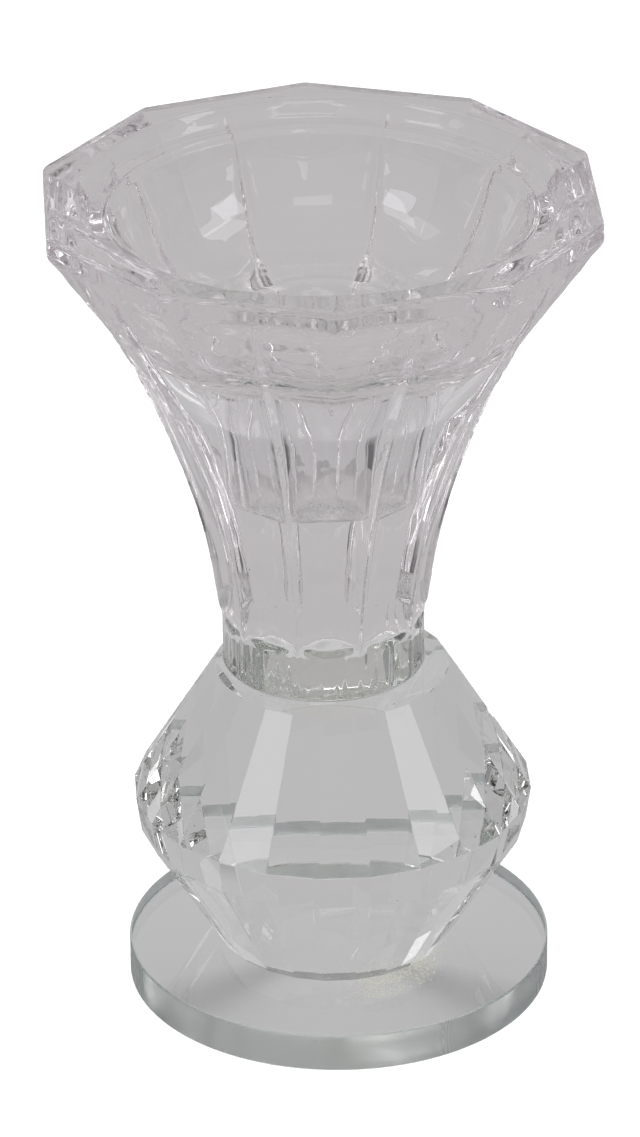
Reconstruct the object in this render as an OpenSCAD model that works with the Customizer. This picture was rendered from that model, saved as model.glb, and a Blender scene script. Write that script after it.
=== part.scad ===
// Glass candlestick: pressed glass cup on a cut crystal ball and a round base disc.
// Three lumps of clear glass joined end to end by two thin adhesive films.
// Millimetres, +Z up. The origin lies on the cup axis in the plane of the underside.

/* [Base disc] */
// Diameter of the round base disc
disc_d = 66; // [60:0.5:72]
// Thickness of the base disc
disc_t = 6.15; // [4:0.05:9]
// Bevel on the top and bottom edges of the disc
disc_bevel = 0.25; // [0.1:0.05:0.8]
// Sideways offset of the disc centre from the cup axis, left in by hand gluing
disc_dx = 2.1; // [-3:0.1:3]
// Front to back offset of the disc centre from the cup axis
disc_dy = -3.75; // [-4:0.05:4]

/* [Cut ball] */
// Number of facets in each ring of the ball
ball_sides = 24; // [18:2:32]
// Corner radius of the flat table on top of the ball
table_r = 18.2; // [17:0.1:20]
// Corner radius of the ball at its widest ring
girdle_r = 31.1; // [28:0.1:34]
// Corner radius at the lower edge of the steep band below the widest ring
band_r = 30.3; // [26:0.1:31]
// Corner radius of the flat foot of the ball
ball_foot_r = 18.1; // [16:0.1:20]
// Height of the sloping facets below the widest band
lower_h = 20.15; // [15:0.05:25]
// Height of the steep band of facets
band_h = 5.5; // [3:0.1:8]
// Height of the sloping facets above the widest ring
crown_h = 21.1; // [15:0.1:26]
// Turn of the facets about the ball axis in degrees
ball_turn = -4.1; // [-15:0.1:15]
// Sideways offset of the ball centre from the cup axis
ball_dx = 1.25; // [-2:0.05:2]
// Front to back offset of the ball centre from the cup axis
ball_dy = -2.25; // [-3:0.05:3]

/* [Adhesive films] */
// Thickness of each clear adhesive film
bond_t = 0.12; // [0.1:0.01:0.3]

/* [Cup outside] */
// Height of the cup and stem from foot to rim
cup_h = 78.2; // [72:0.1:84]
// Corner radius of the ten-sided rim
rim_r = 43.6; // [41:0.1:46]
// Height of the upright band round the rim
rim_band_h = 3.15; // [2.5:0.05:4]
// Softened edge on the rim
rim_bevel = 0.6; // [0.2:0.1:1]
// Radius of the round foot of the stem
foot_r = 15.75; // [14.5:0.05:17]
// Height of the plain round foot below the flutes
foot_h = 7.3; // [5:0.1:9]
// Radius of the stem ridges where the flare meets the bowl
shoulder_r = 27.3; // [26.5:0.1:29]
// Height of that shoulder above the foot of the stem
shoulder_h = 48.9; // [47:0.1:51]
// Extra depth of the hollow flutes below a flat face
flute_depth = 0.5; // [0:0.05:1]
// Turn of the rim corners about the cup axis in degrees
cup_turn = 3.35; // [-18:0.05:18]

/* [Cup inside] */
// Radius of the mouth at the top of the rim
mouth_r = 36.7; // [36:0.1:38]
// Radius of the step just inside the mouth
step_r = 34.8; // [33:0.1:35.5]
// Depth of the step below the rim
step_h = 2.75; // [2:0.05:3.5]
// Radius of the top edge of the round bowl
bowl_r = 30.4; // [28:0.1:32]
// Radius of the socket for a taper candle with a 22 mm base
socket_r = 11.2; // [10:0.05:12]
// Height of the socket floor above the foot of the stem
socket_floor = 30.9; // [27:0.1:36]
// Height of the bowl floor above the foot of the stem
bowl_floor = 58.6; // [57:0.1:60]

/* [Output] */
// Fineness of round surfaces
facets = 96; // [48:8:144]

/* [Hidden] */
panels = 10;
// Points on each ring between two stem ridges
steps = 8;
half = 180 / panels;
ball_z = disc_t + bond_t;
ball_h = lower_h + band_h + crown_h;
cup_z = ball_z + ball_h + bond_t;
band_z = cup_h - rim_band_h;
rim_face_r = rim_r * cos(half);
flare_z = 4.9;
// How much higher each flute ends beside a ridge than at its middle
foot_arch = 1.1;
// Height over which a flute runs out onto the plain foot
run_out = 1.3;
flute_z = foot_h + foot_arch + run_out;
// Levels of the rings that make the outside of the cup, from the foot up
low = [for (k = [0 : 8]) foot_h + (flute_z - foot_h) * k / 8];
rise = [for (k = [1 : 10]) flute_z + (shoulder_h - flute_z) * k / 10];
upper = [for (k = [1 : 7]) shoulder_h + (band_z - shoulder_h) * k / 7];
top = [cup_h - rim_bevel, cup_h - 0.3 * rim_bevel, cup_h];
levels = concat([0], low, rise, upper, top);
n_rings = len(levels);
n_round = panels * steps;

// Radius of the stem ridges at height z
function ridge_r(z) =
    z <= flare_z ? foot_r :
    z <= shoulder_h ? foot_r + (shoulder_r - foot_r) * pow((z - flare_z) / (shoulder_h - flare_z), 1.8) :
    z <= band_z ? shoulder_r + (rim_face_r - shoulder_r) * (z - shoulder_h) / (band_z - shoulder_h) :
    rim_face_r;

// Share of the full flute depth at height z: the flutes get shallow towards the foot
function deepen(z) = 0.35 + 0.65 * min(1, max(0, z - foot_h) / 12);

// Radius midway between two ridges at height z
function flute_r(z) =
    z <= shoulder_h ? ridge_r(z) - (ridge_r(z) * (1 - cos(half)) + flute_depth) * deepen(z) :
    z <= band_z ? flute_r(shoulder_h)
        + (rim_r - flute_r(shoulder_h)) * (z - shoulder_h) / (band_z - shoulder_h) :
    rim_r;

// Amount by which the softened top edge pulls the rim in at height z
function soften(z) =
    z <= cup_h - rim_bevel ? 0 :
    rim_bevel * (1 - sqrt(max(0, 1 - pow((z - cup_h + rim_bevel) / rim_bevel, 2))));

// How far the middle of a panel stands outside the flat line between two ridges
function bulge(z) = flute_r(z) - ridge_r(z) * cos(half);

// Weight of that bulge along the panel: a straight crease outwards, a soft hollow inwards
function weight(t, b) = b > 0 ? 1 - abs(2 * t - 1) : 4 * t * (1 - t);

// One point of the cup outside on panel p, fraction t along it, at height z
function skin_point(p, t, z) =
    let (
        a0 = (p - 0.5) * 2 * half,
        a1 = (p + 0.5) * 2 * half,
        am = p * 2 * half,
        r = ridge_r(z),
        flute_end = foot_h + foot_arch * pow(2 * t - 1, 2),
        round_part = 1 - min(1, max(0, z - flute_end) / run_out),
        x = r * (cos(a0) * (1 - t) + cos(a1) * t) + bulge(z) * weight(t, bulge(z)) * cos(am),
        y = r * (sin(a0) * (1 - t) + sin(a1) * t) + bulge(z) * weight(t, bulge(z)) * sin(am),
        m = norm([x, y]),
        k = (m * (1 - round_part) + foot_r * round_part - soften(z)) / m
    )
    [x * k, y * k, z];

skin_points = [
    for (z = levels) for (p = [0 : panels - 1]) for (s = [0 : steps - 1])
        skin_point(p, s / steps, z)
];
// Four-cornered faces between two rings of n points that start at points a and b
function strip(a, b, n) = [for (j = [0 : n - 1]) [a + j, b + j, b + (j + 1) % n, a + (j + 1) % n]];
skin_sides = [for (i = [0 : n_rings - 2]) each strip(i * n_round, (i + 1) * n_round, n_round)];
skin_foot = [[for (j = [0 : n_round - 1]) j]];
skin_top = [[for (j = [n_round - 1 : -1 : 0]) (n_rings - 1) * n_round + j]];

// Ring of corners of the cut ball
function ball_ring(r, z) = [
    for (k = [0 : ball_sides - 1])
        [r * cos(k * 360 / ball_sides), r * sin(k * 360 / ball_sides), z]
];

ball_points = concat(
    ball_ring(ball_foot_r, 0),
    ball_ring(band_r, lower_h),
    ball_ring(girdle_r, lower_h + band_h),
    ball_ring(table_r, ball_h)
);
ball_faces = concat(
    [[for (j = [0 : ball_sides - 1]) j]],
    [for (i = [0 : 2]) each strip(i * ball_sides, (i + 1) * ball_sides, ball_sides)],
    [[for (j = [ball_sides - 1 : -1 : 0]) 3 * ball_sides + j]]
);

// Round polished disc the candlestick stands on
module base_disc()
{
    color([0.80, 0.86, 0.84, 0.5])
    translate([disc_dx, disc_dy, 0])
    rotate_extrude($fn = facets)
    polygon([
        [0, 0],
        [disc_d / 2 - disc_bevel, 0],
        [disc_d / 2, disc_bevel],
        [disc_d / 2, disc_t - disc_bevel],
        [disc_d / 2 - disc_bevel, disc_t],
        [0, disc_t]
    ]);
}

// Film of clear adhesive under the ball
module lower_bond()
{
    color([0.93, 0.94, 0.84, 0.5])
    translate([ball_dx, ball_dy, disc_t])
    cylinder(h = bond_t, r = ball_foot_r * cos(180 / ball_sides) - 0.1, $fn = facets);
}

// Cut crystal ball with flat table and foot
module faceted_ball()
{
    color([0.84, 0.88, 0.88, 0.5])
    translate([ball_dx, ball_dy, ball_z])
    rotate([0, 0, ball_turn - 90])
    polyhedron(points = ball_points, faces = ball_faces, convexity = 2);
}

// Film of clear adhesive between the ball table and the stem foot
module upper_bond()
{
    color([0.93, 0.94, 0.88, 0.5])
    translate([0, 0, cup_z - bond_t])
    cylinder(h = bond_t, r = foot_r - 0.15, $fn = facets);
}

// Pressed glass cup: flared fluted stem, ten-sided rim, round bowl and candle socket
module candle_cup()
{
    color([0.90, 0.88, 0.91, 0.5])
    translate([0, 0, cup_z])
    difference()
    {
        rotate([0, 0, cup_turn - 90])
        polyhedron(points = skin_points, faces = concat(skin_foot, skin_sides, skin_top), convexity = 4);
        // Mouth, step and round bowl
        rotate_extrude($fn = facets)
        polygon([
            [0, cup_h + 1],
            [mouth_r + 0.35, cup_h + 1],
            [mouth_r, cup_h - 0.35],
            [step_r + 0.3, cup_h - step_h + 0.4],
            [step_r - 0.2, cup_h - step_h],
            [bowl_r + 0.6, cup_h - step_h - 0.5],
            [bowl_r, cup_h - step_h - 1.1],
            [bowl_r - 1.3, cup_h - step_h - 4.6],
            [bowl_r - 3.0, bowl_floor + 8.0],
            [bowl_r - 5.2, bowl_floor + 4.7],
            [bowl_r - 8.6, bowl_floor + 2.0],
            [bowl_r - 12.6, bowl_floor + 0.6],
            [socket_r + 1.0, bowl_floor],
            [socket_r, bowl_floor - 0.8],
            [0, bowl_floor - 0.8]
        ]);
        // Socket for a taper candle
        translate([0, 0, socket_floor])
        cylinder(h = bowl_floor - socket_floor, r = socket_r, $fn = facets);
    }
}

candle_cup();
upper_bond();
faceted_ball();
lower_bond();
base_disc();
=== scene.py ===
import math

import bmesh
import bpy
import numpy as np
from mathutils import Matrix, Vector, noise


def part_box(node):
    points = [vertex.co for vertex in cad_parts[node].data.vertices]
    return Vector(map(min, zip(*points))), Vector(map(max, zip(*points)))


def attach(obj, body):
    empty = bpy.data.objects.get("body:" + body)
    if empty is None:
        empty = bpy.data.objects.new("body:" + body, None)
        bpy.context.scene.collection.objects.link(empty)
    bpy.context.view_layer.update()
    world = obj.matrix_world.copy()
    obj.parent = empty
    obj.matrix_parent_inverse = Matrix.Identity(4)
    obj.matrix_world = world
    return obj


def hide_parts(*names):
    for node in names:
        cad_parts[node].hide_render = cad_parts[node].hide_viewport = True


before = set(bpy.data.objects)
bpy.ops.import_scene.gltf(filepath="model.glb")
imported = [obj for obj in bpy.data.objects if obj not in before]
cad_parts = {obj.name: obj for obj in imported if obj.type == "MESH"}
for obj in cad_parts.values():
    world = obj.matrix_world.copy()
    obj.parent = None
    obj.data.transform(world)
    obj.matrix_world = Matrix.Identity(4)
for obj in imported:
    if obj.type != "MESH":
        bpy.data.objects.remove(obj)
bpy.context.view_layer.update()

MM = 0.001

# ---------------------------------------------------------------- places read from the frame
cup_low, cup_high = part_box("candle_cup")
ball_low, ball_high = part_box("faceted_ball")
disc_low, disc_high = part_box("base_disc")
CUP_AXIS = ((cup_low.x + cup_high.x) / 2, (cup_low.y + cup_high.y) / 2)
BALL_AXIS = ((ball_low.x + ball_high.x) / 2, (ball_low.y + ball_high.y) / 2)
DISC_AXIS = ((disc_low.x + disc_high.x) / 2, (disc_low.y + disc_high.y) / 2)
DISC_R = (disc_high.x - disc_low.x) / 2

# ---------------------------------------------------------------- sizes of the cup, in millimetres above its foot
H = (cup_high.z - cup_low.z) / MM
TURN = math.radians(3.35 - 90)
PANELS = 10
HALF = math.pi / PANELS
# Corner radius of the rim, height of its upright band, rounding of its top edge
RIM_R, BAND_H, RIM_ROUND = 43.6, 3.15, 0.95
# Radius of the plain foot, rounding of its lower edge, height where the flare begins
FOOT_R, FOOT_ROUND, FLARE_Z = 15.75, 0.3, 4.9
# Where the flutes end, how much higher they end beside a ridge, and how far they take to run out
FOOT_H, FOOT_ARCH, RUN_OUT = 7.3, 1.1, 1.3
# Ridge radius and height where the flare meets the bowl, and depth of the flutes
SHOULDER_R, SHOULDER_Z, FLUTE = 27.3, 48.9, 0.5
BAND_Z = H - BAND_H
RIM_FACE_R = RIM_R * math.cos(HALF)
SOCKET_FLOOR = 30.9
# Inner edge of the flat rim, and the line (radius, height) from there over the step into the bowl
RIM_IN = 37.5
BOWL_LINE = (
    (RIM_IN, H), (36.9, H), (36.75, H - 0.05), (36.6, H - 0.5), (35.35, H - 2.2), (35.2, H - 2.55),
    (35.0, H - 2.7), (34.6, H - 2.75), (33.2, H - 2.95), (32.75, H - 3.05), (32.45, H - 2.62),
    (31.9, H - 2.6), (31.55, H - 3.0), (30.9, H - 3.2), (30.6, H - 3.35), (30.42, H - 3.8),
    (30.1, H - 4.7), (29.1, H - 7.35), (27.4, 66.6), (25.2, 63.3), (21.8, 60.6), (17.8, 59.2),
    (13.0, 58.66), (12.0, 58.5), (11.4, 57.95), (11.2, 57.1))
SOCKET_LINE = (
    (11.2, 57.1), (11.2, 32.6), (11.15, 31.6), (10.6, 31.0), (9.6, SOCKET_FLOOR), (0.6, SOCKET_FLOOR))

# ---------------------------------------------------------------- sizes of the ball and the glue, in millimetres
SIDES = 24
BALL_TURN = math.radians(-4.1 - 90)
# Corner radius and height of each ring of corners, from the foot up
RINGS = ((18.1, 0.0), (30.3, 20.15), (31.1, 25.65), (18.2, 46.75))
UPPER_GLUE_R, LOWER_GLUE_R = 15.55, 17.8

# ---------------------------------------------------------------- small helpers


def wave(x, y, z, scale, seed):
    """Smooth noise between about -1 and 1 that doesn't change from run to run."""
    return noise.noise(Vector((x * scale + seed * 7.31, y * scale - seed * 3.7, z * scale + seed * 1.9)))


def piece(name, mesh, nodes, materials):
    """Makes an object of a finished mesh, gives it its materials and ties it to the frame."""
    obj = bpy.data.objects.new(name, mesh)
    bpy.context.scene.collection.objects.link(obj)
    for m in materials:
        obj.data.materials.append(m)
    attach(obj, "root")
    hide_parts(*nodes)


def mesh_of(bm, name):
    """The finished mesh of a bmesh, which is freed."""
    mesh = bpy.data.meshes.new(name)
    bm.to_mesh(mesh)
    bm.free()
    return mesh


def soften(points, times):
    """Cuts the corners of an open line of points, so that it becomes a smooth curve."""
    for _ in range(times):
        cut = [points[0]]
        for a, b in zip(points[:-1], points[1:]):
            cut.append(tuple(p * 0.75 + q * 0.25 for p, q in zip(a, b)))
            cut.append(tuple(p * 0.25 + q * 0.75 for p, q in zip(a, b)))
        cut.append(points[-1])
        points = cut
    return points


def divide(points, step):
    """Adds points to an open line where two neighbours are further apart than step."""
    out = [points[0]]
    for a, b in zip(points[:-1], points[1:]):
        n = max(1, math.ceil(math.dist(a, b) / step))
        out += [tuple(p + (q - p) * k / n for p, q in zip(a, b)) for k in range(1, n + 1)]
    return out


def ring_of(bm, axis, radius, z, count, turn=0.0):
    """A ring of new points round an axis, in metres."""
    ring = []
    for k in range(count):
        a = turn + 2 * math.pi * k / count
        ring.append(bm.verts.new((axis[0] + radius * math.cos(a), axis[1] + radius * math.sin(a), z)))
    return ring


def ring_faces(bm, rings):
    """Adds the four-cornered faces between rings with equally many points, and returns them."""
    faces = []
    for low, high in zip(rings[:-1], rings[1:]):
        for k in range(len(low)):
            m = (k + 1) % len(low)
            faces.append(bm.faces.new((low[k], low[m], high[m], high[k])))
    return faces


def sharpen(faces):
    """Stops faces from sharing their normals with their neighbours."""
    for f in faces:
        for e in f.edges:
            e.smooth = False


# ---------------------------------------------------------------- outlines of the glued areas


def glue_outline(radius, z, uneven, seed, count):
    """A circle with a slightly uneven line, in millimetres round its own axis."""
    loop = []
    for k in range(count):
        a = 2 * math.pi * k / count
        r = radius * (1 - uneven * (0.5 + 0.5 * wave(math.cos(a), math.sin(a), 0, 1.6, seed)))
        loop.append(Vector((r * math.cos(a), r * math.sin(a), z)))
    return loop


def upper_glue(z, count=144):
    """Outline of the glue between stem and ball, round the cup axis."""
    return glue_outline(UPPER_GLUE_R, z, 0.012, 5, count)


def lower_glue(z, count=144):
    """Outline of the glue between ball and disc, round the ball axis."""
    return glue_outline(LOWER_GLUE_R, z, 0.02, 9, count)


def open_contact(bm, face, outline, z, axis, slot):
    """Replaces a flat face with bare glass round a glued area, and the glued area in another material slot."""
    edges = list(face.edges)
    up = face.normal.copy()
    bmesh.ops.delete(bm, geom=[face], context="FACES_ONLY")
    verts = [bm.verts.new(v * MM + Vector((*axis, 0))) for v in outline(z / MM)]
    inner = [bm.edges.new((verts[k], verts[(k + 1) % len(verts)])) for k in range(len(verts))]
    filled = bmesh.ops.triangle_fill(bm, edges=edges + inner, use_beauty=True)
    ring = [g for g in filled["geom"] if isinstance(g, bmesh.types.BMFace)]
    middle = bm.faces.new(verts)
    for f in ring + [middle]:
        f.normal_update()
        if f.normal.dot(up) < 0:
            f.normal_flip()
        f.smooth = False
    middle.material_index = slot
    bm.normal_update()


# ---------------------------------------------------------------- shader nodes


class Tree:
    """The nodes of a material or world. A value given to a node is a number, a colour or another node's output."""

    def __init__(self, owner):
        owner.use_nodes = True
        self.nodes, self.links = owner.node_tree.nodes, owner.node_tree.links
        self.nodes.clear()

    def put(self, value, socket):
        if isinstance(value, bpy.types.NodeSocket):
            self.links.new(value, socket)
        else:
            socket.default_value = value

    def add(self, kind, values=(), **settings):
        """A new node. The values are pairs of socket and value."""
        node = self.nodes.new(kind)
        for name, value in settings.items():
            setattr(node, name, value)
        for key, value in values:
            self.put(value, node.inputs[key])
        return node

    def calc(self, operation, *values):
        return self.add("ShaderNodeMath", enumerate(values), operation=operation).outputs[0]

    def length(self, vector):
        return self.add("ShaderNodeVectorMath", [(0, vector)], operation="LENGTH").outputs["Value"]

    def distance(self, vector, x, y):
        """Distance from the upright line at x, y of a place without height."""
        node = self.add("ShaderNodeVectorMath", [(0, vector), (1, (x, y, 0))], operation="DISTANCE")
        return node.outputs["Value"]

    def without_height(self, vector):
        return self.add("ShaderNodeMapping", [("Vector", vector), ("Scale", (1, 1, 0))]).outputs[0]

    def clouds(self, vector, scale, detail=2.0, rough=0.5, distortion=0.0):
        return self.add("ShaderNodeTexNoise", [
            ("Vector", vector), ("Scale", scale), ("Detail", detail),
            ("Roughness", rough), ("Distortion", distortion)]).outputs["Fac"]

    def spots(self, vector, scale, share, smallest, largest):
        """1 in round spots and 0 elsewhere. share is the part of the cells that hold a spot."""
        cells = self.add("ShaderNodeTexVoronoi", [("Vector", vector), ("Scale", scale)])
        luck = self.add("ShaderNodeSeparateColor", [("Color", cells.outputs["Color"])])
        chosen = self.calc("LESS_THAN", luck.outputs["Red"], share)
        size = self.scaled(luck.outputs["Green"], 0.0, 1.0, smallest, largest)
        near = self.calc("LESS_THAN", cells.outputs["Distance"], size)
        return self.calc("MULTIPLY", chosen, near)

    def scaled(self, value, low, high, out_low, out_high):
        return self.add("ShaderNodeMapRange", [
            ("Value", value), ("From Min", low), ("From Max", high),
            ("To Min", out_low), ("To Max", out_high)]).outputs["Result"]

    def colours(self, share, a, b, **settings):
        """Colour a where share is 0 and colour b where it is 1."""
        return self.add("ShaderNodeMix", [(0, share), (6, a), (7, b)], data_type="RGBA", **settings).outputs[2]

    def ramp(self, value, steps, interpolation="LINEAR"):
        """Colour by value. The steps are pairs of position and colour, in rising order."""
        node = self.add("ShaderNodeValToRGB", [(0, value)])
        node.color_ramp.interpolation = interpolation
        elements = node.color_ramp.elements
        for element, (position, colour) in zip(elements, (steps[0], steps[-1])):
            element.position, element.color = position, colour
        for position, colour in steps[1:-1]:
            elements.new(position).color = colour
        return node.outputs[0]

    def shaders(self, share, a, b):
        """Shader a where share is 0 and shader b where it is 1."""
        return self.add("ShaderNodeMixShader", [(0, share), (1, a), (2, b)]).outputs[0]

    def dull(self, colour, roughness):
        return self.add("ShaderNodeBsdfPrincipled", [
            ("Base Color", (*colour, 1)), ("Roughness", roughness)]).outputs[0]

    def clear(self, colour):
        return self.add("ShaderNodeBsdfTransparent", [("Color", colour)]).outputs[0]

    def output(self, shader, kind="ShaderNodeOutputMaterial"):
        self.add(kind, [("Surface", shader)])


def new_material(name):
    """A material, its node tree, and the place on the object as a node output."""
    m = bpy.data.materials.new(name)
    tree = Tree(m)
    return m, tree, tree.add("ShaderNodeTexCoord").outputs["Object"]


def clear_glass(tree, where, tint_a, tint_b, ior, ripple, ripple_depth, smudge):
    """Glass with a faint change of tint, faint smudges in the polish and a slow ripple.
    Returns the node and its roughness."""
    tint = tree.colours(tree.clouds(where, 38.0, 3.0), (*tint_a, 1), (*tint_b, 1))
    rough = tree.scaled(tree.clouds(where, 70.0, 5.0, 0.6), 0.55, 0.8, 0.0, smudge)
    slow = tree.clouds(where, ripple, 2.0, 0.4, 0.3)
    bump = tree.add("ShaderNodeBump", [("Strength", 1.0), ("Distance", ripple_depth), ("Height", slow)])
    body = tree.add("ShaderNodeBsdfGlass", [
        ("Color", tint), ("Roughness", rough), ("IOR", ior), ("Normal", bump.outputs["Normal"])])
    return body, rough


def dust(tree, where, shader, scale, share, colour):
    """Scatters fine specks over a shader."""
    return tree.shaders(tree.spots(where, scale, share, 0.04, 0.13), shader, tree.dull(colour, 0.9))


def let_lamps_through(tree, shader, clear):
    """Rays from lamps pass the surface nearly unchanged, as they do through real clear glass."""
    path = tree.add("ShaderNodeLightPath")
    tree.output(tree.shaders(path.outputs["Is Shadow Ray"], shader, clear))


# ---------------------------------------------------------------- materials


def pressed_glass():
    m, tree, where = new_material("pressed_glass")
    body, rough = clear_glass(
        tree, where, (0.988, 0.981, 0.984), (0.980, 0.973, 0.977), 1.52, 95.0, 0.00006, 0.02)
    # The lower end of the candle socket was left frosty by the plunger
    height = tree.add("ShaderNodeSeparateXYZ", [(0, where)]).outputs["Z"]
    inside = tree.calc("LESS_THAN", tree.length(tree.without_height(where)), 11.8 * MM)
    above_stem = tree.calc("GREATER_THAN", height, cup_low.z + 20 * MM)
    fading = tree.scaled(height, cup_low.z + 35.3 * MM, cup_low.z + 38.7 * MM, 1.0, 0.0)
    frost = tree.calc("MULTIPLY", tree.calc("MULTIPLY", inside, above_stem), fading)
    grain = tree.scaled(tree.clouds(where, 420.0, 4.0, 0.6), 0.3, 0.7, 0.06, 0.34)
    tree.put(tree.calc("MULTIPLY_ADD", frost, grain, rough), body.inputs["Roughness"])
    shader = dust(tree, where, body.outputs[0], 800.0, 0.004, (0.25, 0.23, 0.22))
    let_lamps_through(tree, shader, tree.clear((0.97, 0.965, 0.97, 1)))
    return m


def cut_crystal():
    m, tree, where = new_material("cut_crystal")
    body, _ = clear_glass(
        tree, where, (0.984, 0.984, 0.982), (0.978, 0.979, 0.978), 1.56, 60.0, 0.000004, 0.01)
    shader = dust(tree, where, body.outputs[0], 900.0, 0.012, (0.2, 0.19, 0.18))
    let_lamps_through(tree, shader, tree.clear((0.97, 0.975, 0.972, 1)))
    return m


def glue_smear(tree, flat, shader):
    """A little adhesive squeezed out on the disc at the front right of the ball foot, with fine bubbles in it."""
    border = tree.scaled(tree.clouds(flat, 420.0, 3.0, 0.6), 0.3, 0.7, 18.7 * MM, 21.2 * MM)
    within = tree.calc("LESS_THAN", tree.distance(flat, *BALL_AXIS), border)
    from_middle = tree.distance(flat, BALL_AXIS[0] + 11.5 * MM, BALL_AXIS[1] - 15 * MM)
    close = tree.scaled(from_middle, 6 * MM, 10.5 * MM, 1.0, 0.0)
    bubbles = tree.add("ShaderNodeTexVoronoi", [("Vector", flat), ("Scale", 1500.0)]).outputs["Distance"]
    cloudy = tree.scaled(bubbles, 0.15, 0.6, 0.75, 0.05)
    amount = tree.calc("MULTIPLY", tree.calc("MULTIPLY", within, close), cloudy)
    return tree.shaders(amount, shader, tree.dull((0.50, 0.485, 0.40), 0.35))


def disc_crystal():
    m, tree, where = new_material("disc_crystal")
    flat = tree.without_height(where)
    body, rough = clear_glass(
        tree, where, (0.992, 0.996, 0.998), (0.984, 0.990, 0.992), 1.54, 50.0, 0.000004, 0.01)
    # The rim is ground and then polished less than the flat faces, so it blurs what is seen through it
    rim = tree.calc("GREATER_THAN", tree.distance(flat, *DISC_AXIS), DISC_R - 0.35 * MM)
    face_tint = body.inputs["Color"].links[0].from_socket
    tree.put(tree.colours(rim, face_tint, (0.87, 0.895, 0.89, 1)), body.inputs["Color"])
    streaks = tree.clouds(flat, 260.0, 3.0, 0.6)
    ground = tree.scaled(streaks, 0.3, 0.7, 0.20, 0.28)
    tree.put(tree.calc("MULTIPLY_ADD", rim, ground, rough), body.inputs["Roughness"])
    # A fine haze of grinding marks scatters some light there too
    haze = tree.calc("MULTIPLY", rim, tree.scaled(streaks, 0.3, 0.7, 0.28, 0.42))
    shader = tree.shaders(haze, body.outputs[0], tree.dull((0.40, 0.43, 0.42), 0.6))
    shader = glue_smear(tree, flat, shader)
    shader = dust(tree, where, shader, 900.0, 0.01, (0.3, 0.29, 0.28))
    let_lamps_through(tree, shader, tree.clear((0.95, 0.965, 0.96, 1)))
    return m


def fine_bubbles(tree, flat, cloud):
    """Small gaps in the lower glue, most of them at its front right."""
    away = tree.distance(flat, BALL_AXIS[0] + 9 * MM, BALL_AXIS[1] - 10 * MM)
    return tree.spots(flat, 620.0, tree.scaled(away, 4 * MM, 12 * MM, 0.4, 0.01), 0.15, 0.45)


def bare_tongue(tree, flat, cloud):
    """One part at the back of the upper joint that the glue didn't reach. It narrows towards the middle."""
    split = tree.add("ShaderNodeSeparateXYZ", [(0, flat)])
    side = tree.calc("ABSOLUTE", tree.calc("SUBTRACT", split.outputs["X"], CUP_AXIS[0]))
    depth = tree.calc("MULTIPLY_ADD", side, -1.15, split.outputs["Y"])
    edge = tree.scaled(cloud, 0.3, 0.7, CUP_AXIS[1] + 5.5 * MM, CUP_AXIS[1] + 7 * MM)
    return tree.calc("GREATER_THAN", depth, edge)


def glued_area(name, tint_a, tint_b, gaps):
    """A glued face: light passes from glass into adhesive unbent. In the gaps it stays glass against air."""
    m, tree, where = new_material(name)
    cloud = tree.clouds(where, 130.0, 4.0, 0.6, 0.5)
    tint = tree.colours(tree.scaled(cloud, 0.42, 0.62, 0.0, 1.0), (*tint_a, 1), (*tint_b, 1))
    glued = tree.clear(tint)
    bare = tree.add("ShaderNodeBsdfGlass", [
        ("IOR", 1.5), ("Roughness", 0.02), ("Color", (0.985, 0.985, 0.98, 1))]).outputs[0]
    shader = tree.shaders(gaps(tree, tree.without_height(where), cloud), glued, bare)
    let_lamps_through(tree, shader, glued)
    return m


def film_face():
    """The glued faces of a film itself: nothing to see but a trace of cloudiness."""
    m, tree, where = new_material("film_face")
    cloud = tree.clouds(where, 220.0, 4.0, 0.6)
    tree.output(tree.clear(tree.colours(cloud, (1.0, 1.0, 0.998, 1), (0.990, 0.991, 0.986, 1))))
    return m


def adhesive_edge():
    m, tree, where = new_material("adhesive_edge")
    body, _ = clear_glass(tree, where, (0.80, 0.80, 0.74), (0.60, 0.60, 0.52), 1.5, 900.0, 0.00006, 0.25)
    let_lamps_through(tree, body.outputs[0], tree.clear((0.93, 0.93, 0.9, 1)))
    return m


# ---------------------------------------------------------------- the cup and stem


def ridge_r(z):
    """Radius of the ten ridges at height z."""
    low = FOOT_R + (SHOULDER_R - FOOT_R) * (np.clip(z - FLARE_Z, 0, None) / (SHOULDER_Z - FLARE_Z)) ** 1.8
    high = SHOULDER_R + (RIM_FACE_R - SHOULDER_R) * (z - SHOULDER_Z) / (BAND_Z - SHOULDER_Z)
    return np.where(z <= SHOULDER_Z, low, np.where(z <= BAND_Z, high, RIM_FACE_R))


def flute_r(z):
    """Radius midway between two ridges at height z: a hollow on the stem, a corner at the rim."""
    deepen = 0.35 + 0.65 * np.clip((z - FOOT_H) / 6, 0, 1)
    low = ridge_r(z) - (ridge_r(z) * (1 - math.cos(HALF)) + FLUTE) * deepen
    top = SHOULDER_R * math.cos(HALF) - FLUTE
    high = top + (RIM_R - top) * (z - SHOULDER_Z) / (BAND_Z - SHOULDER_Z)
    return np.where(z <= SHOULDER_Z, low, np.where(z <= BAND_Z, high, RIM_R))


def from_flute(t):
    """Angle from the middle of the nearest flute or rim corner."""
    return np.abs((t + HALF) % (2 * HALF) - HALF)


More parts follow.
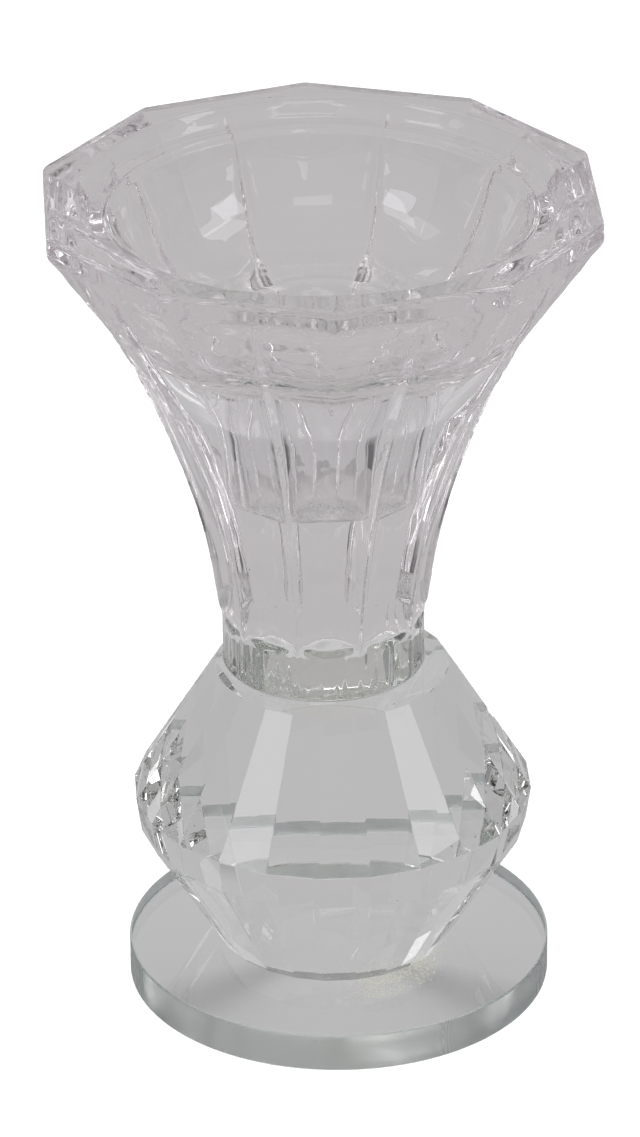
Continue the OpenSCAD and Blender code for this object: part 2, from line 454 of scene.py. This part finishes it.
def sharp_skin(z, t):
    """Radius of the cup outside at height z, at angle t from the middle of a flute or rim corner."""
    t = from_flute(t)
    a, b = ridge_r(z), flute_r(z)
    flat = a * math.cos(HALF)
    crease = a * b * math.sin(HALF) / (b * np.sin(t) + a * np.sin(HALF - t))
    hollow = flat / np.cos(t) - (flat - b) * (1 - (np.tan(t) / math.tan(HALF)) ** 2) * np.cos(t)
    r = np.where(b > flat, crease, hollow)
    flute_end = FOOT_H + FOOT_ARCH * (t / HALF) ** 2
    part = np.clip((z - flute_end) / RUN_OUT, 0, 1)
    round_part = 1 - part * part * (3 - 2 * part)
    return r * (1 - round_part) + FOOT_R * round_part


def seam(z, t, r):
    """Height of the raised mould seam that runs up each ridge, widest where the flare meets the bowl."""
    away = (HALF - from_flute(t)) * r
    fade = np.clip((z - FOOT_H - 0.6) / 1.5, 0, 1) * np.clip((BAND_Z - 1.0 - z) / 2.5, 0, 1)
    wide = 0.30 + 0.45 * np.clip((z - 22) / 20, 0, 1)
    wide += 0.25 * np.clip((z - SHOULDER_Z - 1) / 5, 0, 1) - 0.40 * np.clip((z - SHOULDER_Z - 8) / 15, 0, 1)
    uneven = 0.94 + 0.06 * np.sin(1.9 * z + 9 * np.sign(t) + 1.7 * np.sin(0.8 * z))
    broad = 0.85 * wide * uneven * np.exp(-((away / wide) ** 2)) * np.clip((z - FOOT_H) / 6, 0, 1)
    fine = 0.20 * np.exp(-((away / 0.15) ** 2)) * np.clip((SHOULDER_Z + 2 - z) / 3, 0, 1)
    return (broad + fine) * fade


def skin(z, t):
    """The cup outside with its ridges and corners softened, as fire polishing leaves them, and its seams."""
    z, t = np.broadcast_arrays(np.asarray(z, float), np.asarray(t, float))
    total, weight = np.zeros(z.shape), 0.0
    near_ridge = from_flute(t) / HALF
    reach = 0.14 * near_ridge + (0.16 + 0.4 * np.clip((z - BAND_Z) / 2, 0, 1)) * (1 - near_ridge)
    for dz, wz in ((-0.5, 1), (-0.25, 2), (0, 2.5), (0.25, 2), (0.5, 1)):
        zz = np.clip(z + dz, 0, H)
        for k, wt in ((-1.0, 1), (-0.5, 2), (0, 2.5), (0.5, 2), (1.0, 1)):
            total += wz * wt * sharp_skin(zz, t + k * reach / 30.0)
            weight += wz * wt
    r = total / weight
    # Shallow rings just below the rim band
    under = np.clip(BAND_Z - z, 0, None)
    rings = 0.12 * np.sin(2 * math.pi * under / 4.2) * np.exp(-under / 7) * np.clip((z - SHOULDER_Z) / 6, 0, 1)
    return r + seam(z, t, r) + rings


def wobble(x, y, z, seed):
    """Slow unevenness of pressed glass."""
    return 0.10 * (0.7 * wave(x, y, z, 0.12, seed) + 0.3 * wave(x, y, z, 0.36, seed + 3))


def pleat(a, z):
    """Uneven upright ripples that the mould left round the plain foot."""
    x, y = math.cos(a), math.sin(a)
    uneven = 0.16 * wave(x, y, 0, 6.5, 24) + 0.10 * wave(x, y, 0, 15.0, 22)
    ripple = uneven + 0.055 * math.sin(29 * a + 2.5 * math.sin(5 * a)) - 0.08
    return ripple * min(1, z - 0.3) * min(1, (FOOT_H + 1.5 - z) / 1.5)


def cup_columns():
    """Angle of each column of points, and its angle from the middle of a flute. They crowd together at the
    ridges and at the rim corners, where the surface turns quickest."""
    per_half = 24
    steps = [HALF * (0.5 - 0.5 * math.cos(math.pi * k / per_half)) for k in range(per_half)]
    angles, offsets = [], []
    for p in range(PANELS):
        middle = TURN + 2 * HALF * p
        angles += [middle + s for s in steps] + [middle + HALF + s for s in steps]
        offsets += steps + [-HALF + s for s in steps]
    return np.array(angles), np.array(offsets)


def cup_rows(angles, offsets):
    """Rows of the cup from the foot round the rim to the socket floor. Each is the radius per column, the height,
    how much of the wobble it gets, and the seed of that wobble."""
    outside, inside = 1, 2
    glue = upper_glue(0, 720)
    glue_angle = np.unwrap([math.atan2(v.y, v.x) for v in glue])
    glue_radius = np.array([math.hypot(v.x, v.y) for v in glue])
    glue_r = np.interp(np.mod(angles, 2 * math.pi), glue_angle, glue_radius, period=2 * math.pi)
    rows = [(glue_r, 0.0, 0, 0)]
    foot = skin(0.4, offsets)
    for k in range(5):
        a = math.pi / 2 * k / 4
        rows.append((foot - FOOT_ROUND * (1 - math.sin(a)), FOOT_ROUND * (1 - math.cos(a)), 0, 0))
    # Closest together where the flutes run out and at the lower edge of the rim band
    heights = np.concatenate([
        np.linspace(0.5, 6.2, 8), np.linspace(6.5, 11.0, 31), np.linspace(11.5, SHOULDER_Z + 2, 90),
        np.linspace(SHOULDER_Z + 2.6, BAND_Z - 1.2, 36), np.linspace(BAND_Z - 1.0, BAND_Z + 0.9, 12),
        np.linspace(BAND_Z + 1.1, H - RIM_ROUND, 5)])
    for z in heights:
        rows.append((skin(z, offsets), z, min(1, z / 6), outside))
    rim = skin(H - 1.2, offsets)
    for k in range(1, 9):
        a = math.pi / 2 * k / 8
        rows.append((rim - RIM_ROUND * (1 - math.cos(a)), H - RIM_ROUND * (1 - math.sin(a)), 1, outside))
    edge = rim - RIM_ROUND
    for k in range(1, 9):
        rows.append((edge + (RIM_IN - edge) * k / 8, H, 1, outside))
    bowl_line = divide(soften(BOWL_LINE, 2), 0.6)
    socket_line = divide(soften(SOCKET_LINE, 3), 1.2)
    for r, z in bowl_line[1:] + socket_line[1:]:
        rows.append((np.full(len(angles), r), z, 1, inside))
    return rows


def make_cup():
    """One closed skin: foot, fluted stem, rim, bowl and candle socket."""
    angles, offsets = cup_columns()
    rows = cup_rows(angles, offsets)
    n = len(angles)
    cos_a, sin_a = np.cos(angles), np.sin(angles)
    co, faces = [], []
    for radii, z, loose, seed in rows:
        pleated = seed == 1 and z < FOOT_H + 1.5
        for j in range(n):
            r = float(radii[j])
            if loose:
                r += loose * wobble(r * cos_a[j], r * sin_a[j], z, seed)
            if pleated:
                r += pleat(angles[j], z)
            co.append((CUP_AXIS[0] + r * cos_a[j] * MM, CUP_AXIS[1] + r * sin_a[j] * MM, cup_low.z + z * MM))
    for i in range(len(rows) - 1):
        for j in range(n):
            k = (j + 1) % n
            faces.append((i * n + j, i * n + k, (i + 1) * n + k, (i + 1) * n + j))
    # The middle of the foot is the glued face, in slot 1. The socket floor is glass like the rest
    first, last, top_row = len(co), len(co) + 1, (len(rows) - 1) * n
    co.append((*CUP_AXIS, cup_low.z))
    co.append((*CUP_AXIS, cup_low.z + SOCKET_FLOOR * MM))
    slots = [0] * len(faces) + [1] * n + [0] * n
    faces += [(first, (j + 1) % n, j) for j in range(n)]
    faces += [(last, top_row + j, top_row + (j + 1) % n) for j in range(n)]
    mesh = bpy.data.meshes.new("cup_glass")
    mesh.from_pydata(co, [], faces)
    mesh.polygons.foreach_set("material_index", slots)
    mesh.polygons.foreach_set("use_smooth", [True] * len(faces))
    mesh.update()
    bm = bmesh.new()
    bm.from_mesh(mesh)
    foot_z = cup_low.z + 0.01 * MM
    sharpen(f for f in bm.faces if all(v.co.z < foot_z for v in f.verts))
    bm.to_mesh(mesh)
    bm.free()
    return mesh


# ---------------------------------------------------------------- the cut ball, the disc and the adhesive films


def make_ball():
    """A flat-faced crystal ball: table, crown facets, a steep band, lower facets and foot, with a fine polished
    edge on each."""
    bm = bmesh.new()
    rings = [ring_of(bm, BALL_AXIS, r * MM, ball_low.z + z * MM, SIDES, BALL_TURN) for r, z in RINGS]
    bm.faces.new(list(reversed(rings[0])))
    ring_faces(bm, rings)
    bm.faces.new(rings[-1])
    bm.normal_update()
    bmesh.ops.bevel(bm, geom=list(bm.edges), offset=0.09 * MM, segments=1, affect="EDGES", profile=0.5)
    bm.normal_update()
    table = max((f for f in bm.faces if f.normal.z > 0.999), key=lambda f: f.calc_area())
    foot = max((f for f in bm.faces if f.normal.z < -0.999), key=lambda f: f.calc_area())
    for f in bm.faces:
        f.smooth = False
    open_contact(bm, table, upper_glue, ball_high.z, CUP_AXIS, 1)
    open_contact(bm, foot, lower_glue, ball_low.z, BALL_AXIS, 2)
    return mesh_of(bm, "ball_crystal")


def make_disc():
    """The round disc, with a rounded edge above and below its ground rim."""
    thick = disc_high.z - disc_low.z
    edge = 0.28 * MM
    line = [(DISC_R - edge, 0), (DISC_R - edge * 0.45, edge * 0.12), (DISC_R - edge * 0.12, edge * 0.45)]
    line += [(DISC_R, edge)]
    upper_edge = [(r, thick - z) for r, z in reversed(line)]
    line += [(DISC_R, edge + (thick - 2 * edge) * k / 4) for k in range(1, 4)]
    bm = bmesh.new()
    rings = [ring_of(bm, DISC_AXIS, r, disc_low.z + z, 256) for r, z in line + upper_edge]
    for f in ring_faces(bm, rings):
        f.smooth = True
    under = bm.faces.new(list(reversed(rings[0])))
    top = bm.faces.new(rings[-1])
    bm.normal_update()
    sharpen((under, top))
    open_contact(bm, top, lower_glue, disc_high.z, BALL_AXIS, 1)
    return mesh_of(bm, "disc_crystal")


def make_film(name, axis, outline, low, high):
    """A thin film: glued faces above and below, and an edge drawn in a little at mid height."""
    bm = bmesh.new()
    rings = []
    for share, pull in ((0, 0), (0.25, 0.03), (0.5, 0.045), (0.75, 0.03), (1, 0)):
        ring = []
        for v in outline((low + (high - low) * share) / MM):
            p = (v - Vector((v.x, v.y, 0)).normalized() * pull) * MM
            ring.append(bm.verts.new((axis[0] + p.x, axis[1] + p.y, p.z)))
        rings.append(ring)
    for f in ring_faces(bm, rings):
        f.smooth = True
    glued = (bm.faces.new(list(reversed(rings[0]))), bm.faces.new(rings[-1]))
    for f in glued:
        f.material_index = 1
    sharpen(glued)
    bm.normal_update()
    return mesh_of(bm, name)


# ---------------------------------------------------------------- the pieces
edge_glue, film_glued = adhesive_edge(), film_face()
glued_up = glued_area("glued_upper", (0.940, 0.944, 0.940), (0.910, 0.915, 0.909), bare_tongue)
glued_low = glued_area("glued_lower", (0.996, 0.996, 0.993), (0.975, 0.976, 0.962), fine_bubbles)
upper_film = make_film("glue_upper", CUP_AXIS, upper_glue, ball_high.z, cup_low.z)
lower_film = make_film("glue_lower", BALL_AXIS, lower_glue, disc_high.z, ball_low.z)

piece("cup_glass", make_cup(), ["candle_cup"], [pressed_glass(), glued_up])
piece("ball_crystal", make_ball(), ["faceted_ball"], [cut_crystal(), glued_up, glued_low])
piece("disc_crystal", make_disc(), ["base_disc"], [disc_crystal(), glued_low])
piece("glue_upper", upper_film, ["upper_bond"], [edge_glue, film_glued])
piece("glue_lower", lower_film, ["lower_bond"], [edge_glue, film_glued])

# ---------------------------------------------------------------- floor, light and camera
# Brightness by the upward part of the direction: the room in front and at the sides, and the paper behind
ROOM = ((0.0, 0.10), (0.10, 0.14), (0.28, 0.45), (0.55, 0.6), (0.72, 0.8), (1.0, 0.9))
PAPER = ((0.0, 0.5), (0.38, 0.52), (0.48, 0.62), (0.72, 0.5), (1.0, 0.9))
# The floor as the glass shows it, near the object and far away. Both tones are painted light: the floor glows with
# them instead of being lit by the lamps
FLOOR_TONE = (0.510, 0.500, 0.506, 1)
FAR_TONE = (0.36, 0.355, 0.36, 1)
WHITE = (1, 1, 1, 1)
COOL = (0.97, 0.985, 1.0)


def ball_shadows(tree, where):
    """Two soft shadows that the ball throws forwards to the left and right, as a factor on the floor tone."""
    centre = (*DISC_AXIS, 0)
    away = tree.add("ShaderNodeVectorMath", [(0, where), (1, centre)], operation="SUBTRACT").outputs[0]
    split = tree.add("ShaderNodeSeparateXYZ", [(0, away)])
    side = tree.calc("ABSOLUTE", split.outputs["X"])
    front = tree.calc("MULTIPLY", split.outputs["Y"], -1)
    share = tree.scaled(tree.calc("ARCTAN2", side, front), 0, math.pi, 0, 1)
    steps = [(0.20, (0.96, 0.96, 0.96, 1)), (0.285, (0.50, 0.50, 0.50, 1)), (0.38, WHITE)]
    fade = tree.scaled(tree.length(away), 30 * MM, 44 * MM, 1.0, 0.0)
    return tree.colours(fade, WHITE, tree.ramp(share, steps, "B_SPLINE"))


def make_floor():
    """A plain pale floor. It looks white itself, as in a cut-out picture. Seen through the glass it is a grey glow
    of painted light, with painted shadows, instead of a lit floor.
    """
    m, tree, where = new_material("floor_paper")
    m.cycles.emission_sampling = "NONE"
    moved = tree.add("ShaderNodeMapping", [
        ("Vector", where), ("Location", (0, -0.55, 0)), ("Scale", (1.0, 0.62, 1.0))]).outputs[0]
    tone = tree.ramp(tree.length(moved), [(0.6, FLOOR_TONE), (1.0, FAR_TONE)])
    tone = tree.colours(1.0, tone, ball_shadows(tree, where), blend_type="MULTIPLY")
    # Painted light: through the glass the floor glows with this tone and its painted shadows, unlit by the lamps
    seen_through = tree.add("ShaderNodeEmission", [("Color", tone)]).outputs[0]
    white = tree.add("ShaderNodeBsdfDiffuse", [("Color", (0.97, 0.97, 0.97, 1))]).outputs[0]
    path = tree.add("ShaderNodeLightPath")
    tree.output(tree.shaders(path.outputs["Is Camera Ray"], seen_through, white))
    bm = bmesh.new()
    bmesh.ops.create_circle(bm, cap_ends=True, radius=8.0, segments=96)
    mesh = mesh_of(bm, "floor")
    mesh.materials.append(m)
    floor = bpy.data.objects.new("floor", mesh)
    floor.location = (0, 0, disc_low.z - 0.1 * MM)
    bpy.context.scene.collection.objects.link(floor)


def make_world():
    """Pale paper behind the object and pale walls above, with darker room low down on the other sides."""
    world = bpy.data.worlds.new("studio")
    bpy.context.scene.world = world
    world.cycles_visibility.diffuse = False
    tree = Tree(world)
    way = tree.add("ShaderNodeTexCoord").outputs["Generated"]
    split = tree.add("ShaderNodeSeparateXYZ", [(0, way)])
    sides = []
    for steps in (ROOM, PAPER):
        greys = [(position, (value, value, value * 1.01, 1)) for position, value in steps]
        sides.append(tree.ramp(split.outputs["Z"], greys))
    behind = tree.scaled(split.outputs["Y"], 0.3, 0.6, 0.0, 1.0)
    back = tree.add("ShaderNodeBackground", [("Color", tree.colours(behind, *sides))])
    tree.output(back.outputs[0], "ShaderNodeOutputWorld")


def lamp_at(name, azimuth, elevation, distance, width, height, energy):
    """A flat lamp aimed at the middle of the object. Azimuth 0 is the camera side and 90 is +X."""
    a, e = math.radians(azimuth), math.radians(elevation)
    way = Vector((math.sin(a) * math.cos(e), -math.cos(a) * math.cos(e), math.sin(e)))
    light = bpy.data.lights.new(name, "AREA")
    light.shape = "RECTANGLE"
    light.size, light.size_y = width, height
    light.energy = energy
    lamp = bpy.data.objects.new(name, light)
    lamp.location = Vector((0, 0, 0.06)) + way * distance
    lamp.rotation_mode = "QUATERNION"
    lamp.rotation_quaternion = way.to_track_quat("Z", "Y")
    lamp.visible_camera = False
    bpy.context.scene.collection.objects.link(lamp)
    return lamp


def room_light(name, size, energy):
    """Lights the floor and dull surfaces from above. Glass doesn't show it."""
    lamp = lamp_at(name, 0, 90, 2.6, size, size, energy)
    lamp.data.cycles.use_multiple_importance_sampling = False
    lamp.visible_glossy = False
    lamp.visible_transmission = False


def soft_box(name, azimuth, elevation, width, height, radiance, colour=(1, 1, 1)):
    """A soft box that the glass shows. The floor isn't lit by it."""
    lamp = lamp_at(name, azimuth, elevation, 3.0, width, height, radiance * math.pi * width * height)
    lamp.data.color = colour
    lamp.visible_diffuse = False


make_floor()
make_world()
room_light("room_top", 3.0, 130.0)
soft_box("left_box", -54, 31, 0.9, 0.75, 2.5, COOL)
soft_box("right_box", 66, 31, 0.9, 0.8, 2.5, COOL)
soft_box("left_high", -86, 44, 1.2, 0.8, 0.95)
soft_box("right_high", 86, 47, 1.2, 0.8, 2.0)
soft_box("front_window", 7, 42, 1.0, 0.5, 1.35)

camera = bpy.data.cameras.new("camera")
camera.sensor_width = 36.0
camera.lens = 207.25
camera.clip_start, camera.clip_end = 0.05, 20.0
eye = bpy.data.objects.new("camera", camera)
# Downward tilt, turn and roll in radians
pitch, yaw, roll = 0.4728, -0.0029, -0.0066
forward = Vector((math.sin(yaw) * math.cos(pitch), math.cos(yaw) * math.cos(pitch), -math.sin(pitch)))
level = Vector((math.cos(yaw), -math.sin(yaw), 0))
upward = level.cross(forward)
right = level * math.cos(roll) + upward * math.sin(roll)
up = upward * math.cos(roll) - level * math.sin(roll)
placing = Matrix((right, up, -forward)).transposed().to_4x4()
placing.translation = Vector((CUP_AXIS[0] + 0.00211, CUP_AXIS[1] - 0.8993, disc_low.z + 0.5281))
eye.matrix_world = placing
bpy.context.scene.collection.objects.link(eye)
bpy.context.scene.camera = eye

view = bpy.context.scene.view_settings
view.view_transform = "Standard"
view.look = "None"
# Light crosses many glass faces before it leaves the object
cycles = bpy.context.scene.cycles
cycles.max_bounces = 40
cycles.transmission_bounces = 40
cycles.glossy_bounces = 40
cycles.diffuse_bounces = 3
cycles.transparent_max_bounces = 96
cycles.caustics_reflective = False
cycles.caustics_refractive = False
